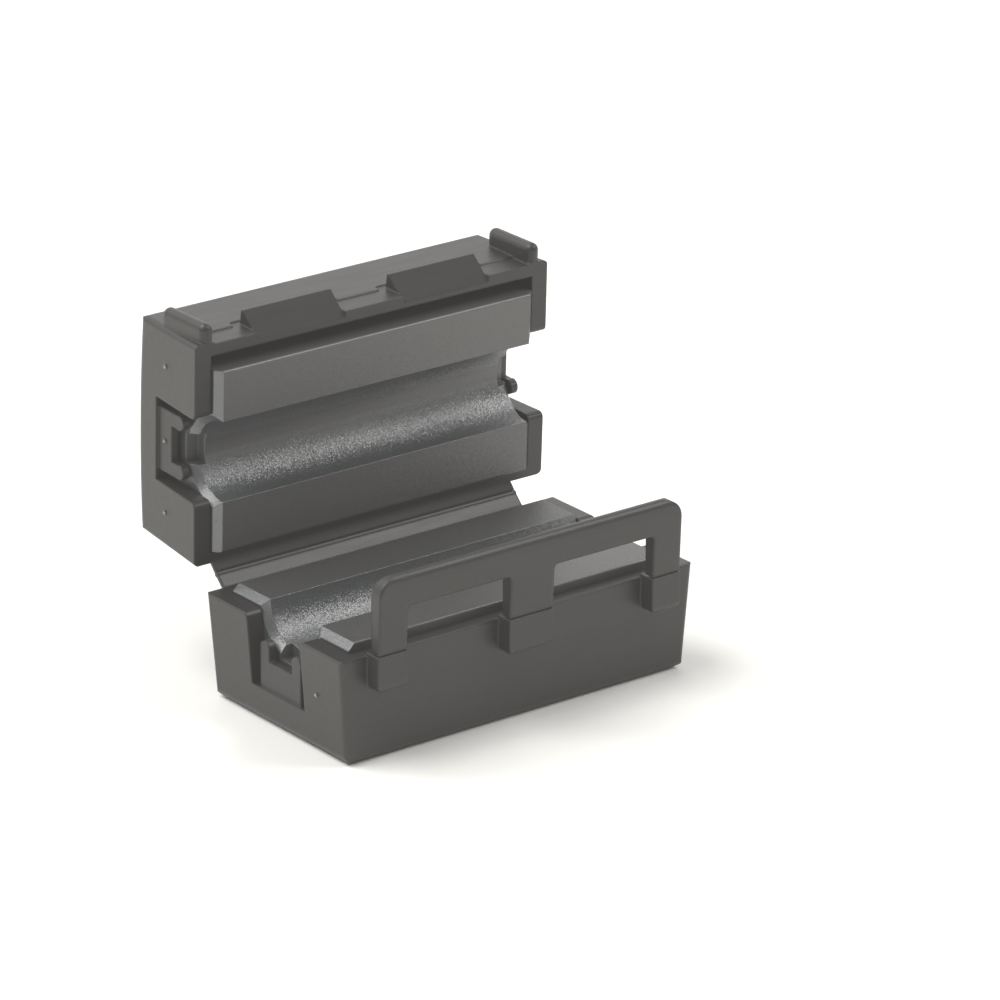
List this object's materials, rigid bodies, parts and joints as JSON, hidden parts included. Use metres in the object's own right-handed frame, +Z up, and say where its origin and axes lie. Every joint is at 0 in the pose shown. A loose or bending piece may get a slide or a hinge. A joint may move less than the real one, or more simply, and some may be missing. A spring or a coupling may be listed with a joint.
{
  "type": "clip on ferrite bead",
  "caption": "Clip-on ferrite bead for a cable: an oblong black case that opens on a film hinge, a ferrite half core in each half, and a latch bail, shown open.",
  "frame": {"origin": "middle of the underside of the base, on the surface that it stands on", "axes": "+X along the cable channel and the hinge, -Y towards the latch bail, +Y towards the hinge, +Z up"},
  "size_m": [0.0362, 0.0316, 0.0322],
  "materials": {
    "black_nylon": "satin, with the fine texture of an eroded mould",
    "ferrite": "ground lands with a soft sheen, as-sintered channel with a fine glitter"
  },
  "bodies": {
    "base": {"base_shell": "black_nylon", "base_core": "ferrite"},
    "lid": {"lid_shell": "black_nylon", "lid_core": "ferrite"},
    "bail": {"latch_bail": "black_nylon"}
  },
  "joints": [
    {"name": "lid_hinge", "type": "hinge", "parent": "base", "child": "lid", "pos_m": [0, 0.01049, 0.01019], "axis": [1, 0, 0], "range_deg": [-92, 88]},
    {"name": "bail_swing", "type": "hinge", "parent": "base", "child": "bail", "pos_m": [0, -0.01078, 0.00985], "axis": [1, 0, 0], "range_deg": [0, 24], "stiffness_Nm_per_rad": 0.05}
  ]
}
